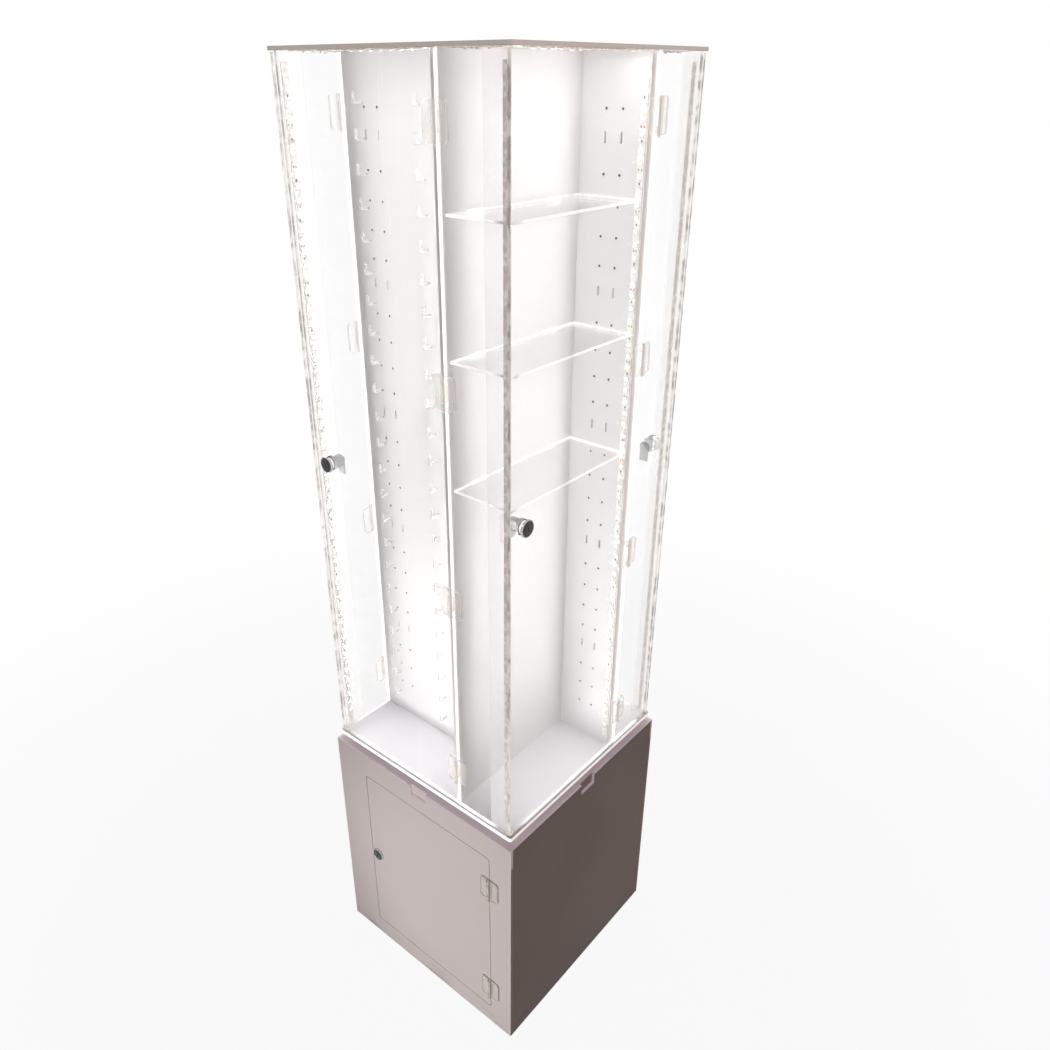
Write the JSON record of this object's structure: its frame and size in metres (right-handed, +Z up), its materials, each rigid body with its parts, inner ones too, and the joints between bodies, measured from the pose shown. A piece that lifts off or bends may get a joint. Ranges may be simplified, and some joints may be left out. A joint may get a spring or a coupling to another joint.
{
  "type": "rotating display case",
  "caption": "Tall square case of clear panes and hinged locking doors that turns on a ball bearing above a storage cabinet, with inner walls, hooks, shelves and light strips.",
  "frame": {"origin": "centre of the cabinet's foot, on the floor", "axes": "+Z up along the turning axis, cabinet door facing -Y, +X to the right of that door"},
  "size_m": [0.406, 0.4133, 1.5435],
  "materials": {
    "white_board": "satin white faced board",
    "white_acrylic": "white acrylic sheet",
    "clear_acrylic": "clear polished acrylic",
    "clear_hinge": "clear moulded plastic",
    "lock_chrome": "polished",
    "steel": "zinc plated",
    "cage_plastic": "moulded",
    "light_tape": "white flexible circuit tape"
  },
  "bodies": {
    "cabinet": {"bottom_board": "white_board", "top_board": "white_board", "front_skin": "white_board", "back_skin": "white_board", "left_skin": "white_board", "right_skin": "white_board", "carcass_front": "white_board", "carcass_back": "white_board", "carcass_left": "white_board", "carcass_right": "white_board", "cabinet_hinge_frame_leaves": "clear_hinge", "cabinet_hinge_pins": "steel", "turntable_lower_plate": "steel", "turntable_lower_screws": "steel"},
    "ball_ring": {"ball_cage": "cage_plastic", "balls": "steel"},
    "case": {"turntable_upper_plate": "steel", "turntable_upper_screws": "steel", "base_plate": "white_acrylic", "top_plate": "white_acrylic", "display_wall_front": "white_acrylic", "display_wall_right": "white_acrylic", "display_wall_back": "white_acrylic", "display_wall_left": "white_acrylic", "fixed_pane_front": "clear_acrylic", "fixed_pane_right": "clear_acrylic", "fixed_pane_back": "clear_acrylic", "fixed_pane_left": "clear_acrylic", "corner_strips": "clear_acrylic", "lock_keepers": "clear_acrylic", "pane_hinge_leaves": "clear_hinge", "pane_hinge_pins": "steel", "corner_light_strips": "light_tape", "wall_light_strips": "light_tape", "top_light_strips": "light_tape", "shelves_right": "clear_acrylic", "shelves_left": "clear_acrylic", "hooks": "clear_acrylic"},
    "cabinet_door": {"cabinet_door": "white_board", "cabinet_hinge_door_leaves": "clear_hinge", "cabinet_lock_body": "lock_chrome"},
    "cabinet_lock": {"cabinet_lock_core": "lock_chrome"},
    "door_front": {"glass_door_front": "clear_acrylic", "door_hinge_leaves_front": "clear_hinge", "lock_body_front": "lock_chrome"},
    "lock_front": {"lock_core_front": "lock_chrome"},
    "door_right": {"glass_door_right": "clear_acrylic", "door_hinge_leaves_right": "clear_hinge", "lock_body_right": "lock_chrome"},
    "lock_right": {"lock_core_right": "lock_chrome"},
    "door_back": {"glass_door_back": "clear_acrylic", "door_hinge_leaves_back": "clear_hinge", "lock_body_back": "lock_chrome"},
    "lock_back": {"lock_core_back": "lock_chrome"},
    "door_left": {"glass_door_left": "clear_acrylic", "door_hinge_leaves_left": "clear_hinge", "lock_body_left": "lock_chrome"},
    "lock_left": {"lock_core_left": "lock_chrome"}
  },
  "joints": [
    {"name": "case_turn", "type": "hinge", "parent": "cabinet", "child": "case", "pos_m": [0, 0, 0.45675], "axis": [0, 0, 1], "continuous": true},
    {"name": "ball_ring_turn", "type": "hinge", "parent": "cabinet", "child": "ball_ring", "pos_m": [0, 0, 0.45675], "axis": [0, 0, 1], "continuous": true},
    {"name": "door_front_swing", "type": "hinge", "parent": "case", "child": "door_front", "pos_m": [0.0875, -0.1983, 1.0045], "axis": [0, 0, 1], "range_deg": [0, 170]},
    {"name": "lock_front_turn", "type": "hinge", "parent": "door_front", "child": "lock_front", "pos_m": [-0.163, -0.1945, 0.992], "axis": [0, 1, 0], "range_deg": [0, 90]},
    {"name": "door_right_swing", "type": "hinge", "parent": "case", "child": "door_right", "pos_m": [0.1983, 0.0875, 1.0045], "axis": [0, 0, 1], "range_deg": [0, 170]},
    {"name": "lock_right_turn", "type": "hinge", "parent": "door_right", "child": "lock_right", "pos_m": [0.1945, -0.163, 0.992], "axis": [-1, 0, 0], "range_deg": [0, 90]},
    {"name": "door_back_swing", "type": "hinge", "parent": "case", "child": "door_back", "pos_m": [-0.0875, 0.1983, 1.0045], "axis": [0, 0, 1], "range_deg": [0, 170]},
    {"name": "lock_back_turn", "type": "hinge", "parent": "door_back", "child": "lock_back", "pos_m": [0.163, 0.1945, 0.992], "axis": [0, -1, 0], "range_deg": [0, 90]},
    {"name": "door_left_swing", "type": "hinge", "parent": "case", "child": "door_left", "pos_m": [-0.1983, -0.0875, 1.0045], "axis": [0, 0, 1], "range_deg": [0, 170]},
    {"name": "lock_left_turn", "type": "hinge", "parent": "door_left", "child": "lock_left", "pos_m": [-0.1945, 0.163, 0.992], "axis": [1, 0, 0], "range_deg": [0, 90]},
    {"name": "cabinet_door_swing", "type": "hinge", "parent": "cabinet", "child": "cabinet_door", "pos_m": [0.158, -0.2068, 0.2215], "axis": [0, 0, 1], "range_deg": [0, 170]},
    {"name": "cabinet_lock_turn", "type": "hinge", "parent": "cabinet_door", "child": "cabinet_lock", "pos_m": [-0.1165, -0.203, 0.2215], "axis": [0, 1, 0], "range_deg": [0, 90]}
  ],
  "couplings": [
    {"joint": "ball_ring_turn", "follows": "case_turn", "ratio": 0.5}
  ]
}
